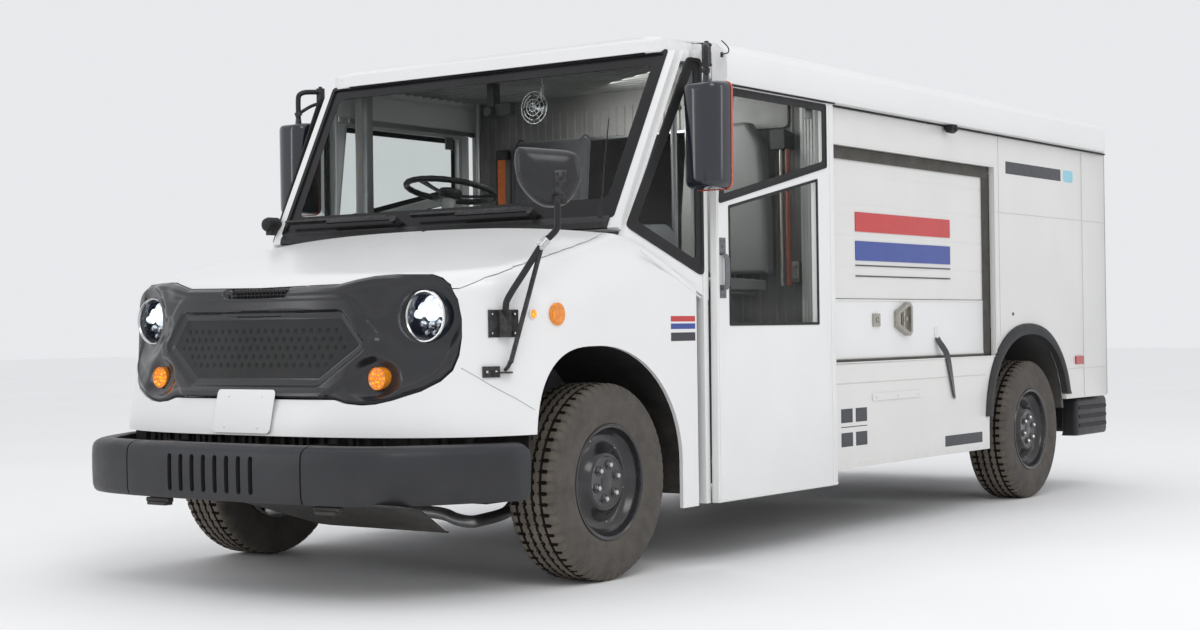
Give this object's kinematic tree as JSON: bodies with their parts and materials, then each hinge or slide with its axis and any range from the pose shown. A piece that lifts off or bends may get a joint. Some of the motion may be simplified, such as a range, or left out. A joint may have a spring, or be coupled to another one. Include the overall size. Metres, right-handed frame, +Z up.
{
  "type": "mail delivery truck",
  "caption": "Walk-in box-body mail truck with a tilting hood, sliding cab doors, a roll-up side door, double rear doors, steering and mirrors that fold.",
  "frame": {"origin": "on the ground at the middle of the overall length and width", "axes": "+X to the truck's left, +Y to its rear, +Z up"},
  "size_m": [2.47, 6.334, 2.18],
  "materials": {
    "white_body": "white gloss paint",
    "white_moulding": "gloss gel coat",
    "charcoal_plastic": "satin grain",
    "grille_plastic": "satin dimpled",
    "black_plastic": "satin",
    "black_rubber": "matt",
    "liner_plastic": "matt",
    "dash_plastic": "matt grain",
    "headlight_lens": "clear",
    "tinted_glass": "tinted clear",
    "chassis_black": "black coated",
    "battery_case": "black coated",
    "wheelhouse_metal": "mill",
    "floor_metal": "mill tread",
    "bulkhead_grey": "dark ribbed",
    "grey_steel": "worn coated",
    "black_steel": "black coated",
    "latch_steel": "satin",
    "wheel_steel": "black satin",
    "tyre": "dusty",
    "seat_fabric": "woven grey"
  },
  "bodies": {
    "truck_body": {"chassis_frame": "chassis_black", "battery_pack": "battery_case", "rear_axle": "chassis_black", "stabiliser_bar": "grey_steel", "cab_floor": "floor_metal", "cargo_floor": "floor_metal", "left_side_panel": "white_body", "right_side_panel": "white_body", "left_wheelhouse": "wheelhouse_metal", "right_wheelhouse": "wheelhouse_metal", "rear_frame": "white_body", "bulkhead": "bulkhead_grey", "roof_cap": "white_moulding", "cab_frame": "white_body", "windshield": "tinted_glass", "left_quarter_glass": "tinted_glass", "right_quarter_glass": "tinted_glass", "nose_shell": "white_moulding", "grille_mask": "charcoal_plastic", "grille_panel": "grille_plastic", "left_headlight": "headlight_lens", "right_headlight": "headlight_lens", "dashboard": "dash_plastic", "seat_base": "black_plastic", "left_front_liner": "liner_plastic", "right_front_liner": "liner_plastic", "front_bumper": "charcoal_plastic", "rear_bumper": "black_rubber", "cross_view_arm": "black_steel"},
    "tilting_hood": {"hood": "white_moulding"},
    "left_hub_carrier": {"left_knuckle": "chassis_black"},
    "right_hub_carrier": {"right_knuckle": "chassis_black"},
    "front_left_roadwheel": {"front_left_wheel": "wheel_steel", "front_left_tyre": "tyre"},
    "rear_left_roadwheel": {"rear_left_wheel": "wheel_steel", "rear_left_tyre": "tyre"},
    "front_right_roadwheel": {"front_right_wheel": "wheel_steel", "front_right_tyre": "tyre"},
    "rear_right_roadwheel": {"rear_right_wheel": "wheel_steel", "rear_right_tyre": "tyre"},
    "steering_wheel_rim": {"steering_wheel": "black_plastic"},
    "left_sliding_door": {"left_cab_door": "white_body", "left_door_glass": "tinted_glass"},
    "right_sliding_door": {"right_cab_door": "white_body", "right_door_glass": "tinted_glass"},
    "left_mirror": {"left_door_mirror": "black_plastic"},
    "right_mirror": {"right_door_mirror": "black_plastic"},
    "fender_mirror": {"cross_view_mirror": "black_plastic"},
    "left_wiper_arm": {"left_wiper": "black_steel"},
    "right_wiper_arm": {"right_wiper": "black_steel"},
    "side_door": {"side_door_bottom_panel": "white_body", "side_door_curtain": "white_body"},
    "side_latch": {"side_door_latch": "latch_steel"},
    "side_drum": {"side_door_drum": "latch_steel"},
    "rear_left_leaf": {"rear_left_door": "white_body"},
    "rear_right_leaf": {"rear_right_door": "white_body"},
    "driver_seat": {"seat_cushion": "seat_fabric", "seat_back": "seat_fabric"},
    "brake_lever": {"brake_pedal": "black_steel"},
    "accelerator_lever": {"accelerator_pedal": "black_steel"}
  },
  "joints": [
    {"name": "hood_hinge", "type": "hinge", "parent": "truck_body", "child": "tilting_hood", "pos_m": [0, -1.955, 1.383], "axis": [-1, 0, 0], "range_deg": [0, 55]},
    {"name": "left_steer", "type": "hinge", "parent": "truck_body", "child": "left_hub_carrier", "pos_m": [0.79, -2.033, 0.38], "axis": [0, 0, 1], "range_deg": [-30, 30]},
    {"name": "right_steer", "type": "hinge", "parent": "truck_body", "child": "right_hub_carrier", "pos_m": [-0.79, -2.033, 0.38], "axis": [0, 0, 1], "range_deg": [-30, 30]},
    {"name": "front_left_spin", "type": "hinge", "parent": "left_hub_carrier", "child": "front_left_roadwheel", "pos_m": [0.895, -2.033, 0.38], "axis": [1, 0, 0], "continuous": true},
    {"name": "rear_left_spin", "type": "hinge", "parent": "truck_body", "child": "rear_left_roadwheel", "pos_m": [0.895, 1.967, 0.38], "axis": [1, 0, 0], "continuous": true},
    {"name": "front_right_spin", "type": "hinge", "parent": "right_hub_carrier", "child": "front_right_roadwheel", "pos_m": [-0.895, -2.033, 0.38], "axis": [1, 0, 0], "continuous": true},
    {"name": "rear_right_spin", "type": "hinge", "parent": "truck_body", "child": "rear_right_roadwheel", "pos_m": [-0.895, 1.967, 0.38], "axis": [1, 0, 0], "continuous": true},
    {"name": "steering_wheel_turn", "type": "hinge", "parent": "truck_body", "child": "steering_wheel_rim", "pos_m": [-0.45, -1.248, 1.615], "axis": [0, 0.2079, 0.9781], "range_deg": [-450, 450]},
    {"name": "left_cab_door_slide", "type": "slide", "parent": "truck_body", "child": "left_sliding_door", "axis": [0, 1, 0], "range_m": [0, 0.9]},
    {"name": "right_cab_door_slide", "type": "slide", "parent": "truck_body", "child": "right_sliding_door", "axis": [0, 1, 0], "range_m": [0, 0.9]},
    {"name": "left_mirror_fold", "type": "hinge", "parent": "truck_body", "child": "left_mirror", "pos_m": [1.085, -1.442, 2.085], "axis": [0, 0, 1], "range_deg": [-10, 60]},
    {"name": "right_mirror_fold", "type": "hinge", "parent": "truck_body", "child": "right_mirror", "pos_m": [-1.085, -1.442, 2.085], "axis": [0, 0, -1], "range_deg": [-10, 60]},
    {"name": "cross_view_swivel", "type": "hinge", "parent": "truck_body", "child": "fender_mirror", "pos_m": [1.114, -2.548, 1.517], "axis": [0, 0, 1], "range_deg": [-12, 12]},
    {"name": "left_wiper_sweep", "type": "hinge", "parent": "truck_body", "child": "left_wiper_arm", "pos_m": [0.52, -1.8577, 1.4264], "axis": [0, 0.884, -0.4674], "range_deg": [0, 88]},
    {"name": "right_wiper_sweep", "type": "hinge", "parent": "truck_body", "child": "right_wiper_arm", "pos_m": [-0.22, -1.8577, 1.4264], "axis": [0, 0.884, -0.4674], "range_deg": [0, 88]},
    {"name": "side_door_lift", "type": "slide", "parent": "truck_body", "child": "side_door", "axis": [0, 0, 1], "range_m": [0, 0.65], "deforming": ["side_door_curtain"]},
    {"name": "side_latch_turn", "type": "hinge", "parent": "side_door", "child": "side_latch", "pos_m": [1.015, 0.367, 0.995], "axis": [1, 0, 0], "range_deg": [0, 35], "stiffness_Nm_per_rad": 6, "springref_deg": -11.46},
    {"name": "side_drum_turn", "type": "hinge", "parent": "truck_body", "child": "side_drum", "pos_m": [0.89, -0.323, 2.04], "axis": [0, -1, 0], "range_deg": [0, 466]},
    {"name": "rear_left_door_swing", "type": "hinge", "parent": "truck_body", "child": "rear_left_leaf", "pos_m": [0.879, 3.017, 1.3], "axis": [0, 0, -1], "range_deg": [0, 105]},
    {"name": "rear_right_door_swing", "type": "hinge", "parent": "truck_body", "child": "rear_right_leaf", "pos_m": [-0.879, 3.017, 1.3], "axis": [0, 0, 1], "range_deg": [0, 105]},
    {"name": "seat_slide", "type": "slide", "parent": "truck_body", "child": "driver_seat", "axis": [0, 1, 0], "range_m": [-0.1, 0.03]},
    {"name": "brake_pedal_press", "type": "hinge", "parent": "truck_body", "child": "brake_lever", "pos_m": [-0.45, -1.474, 1.112], "axis": [-1, 0, 0], "range_deg": [0, 8], "stiffness_Nm_per_rad": 60, "springref_deg": -5.73},
    {"name": "accelerator_press", "type": "hinge", "parent": "truck_body", "child": "accelerator_lever", "pos_m": [-0.58, -1.474, 1.112], "axis": [-1, 0, 0], "range_deg": [0, 8], "stiffness_Nm_per_rad": 60, "springref_deg": -5.73}
  ],
  "couplings": [
    {"joint": "right_steer", "follows": "left_steer", "ratio": 1},
    {"joint": "steering_wheel_turn", "follows": "left_steer", "ratio": 15},
    {"joint": "right_wiper_sweep", "follows": "left_wiper_sweep", "ratio": 1},
    {"joint": "side_drum_turn", "follows": "side_door_lift", "rad_per_m": 12.5}
  ]
}
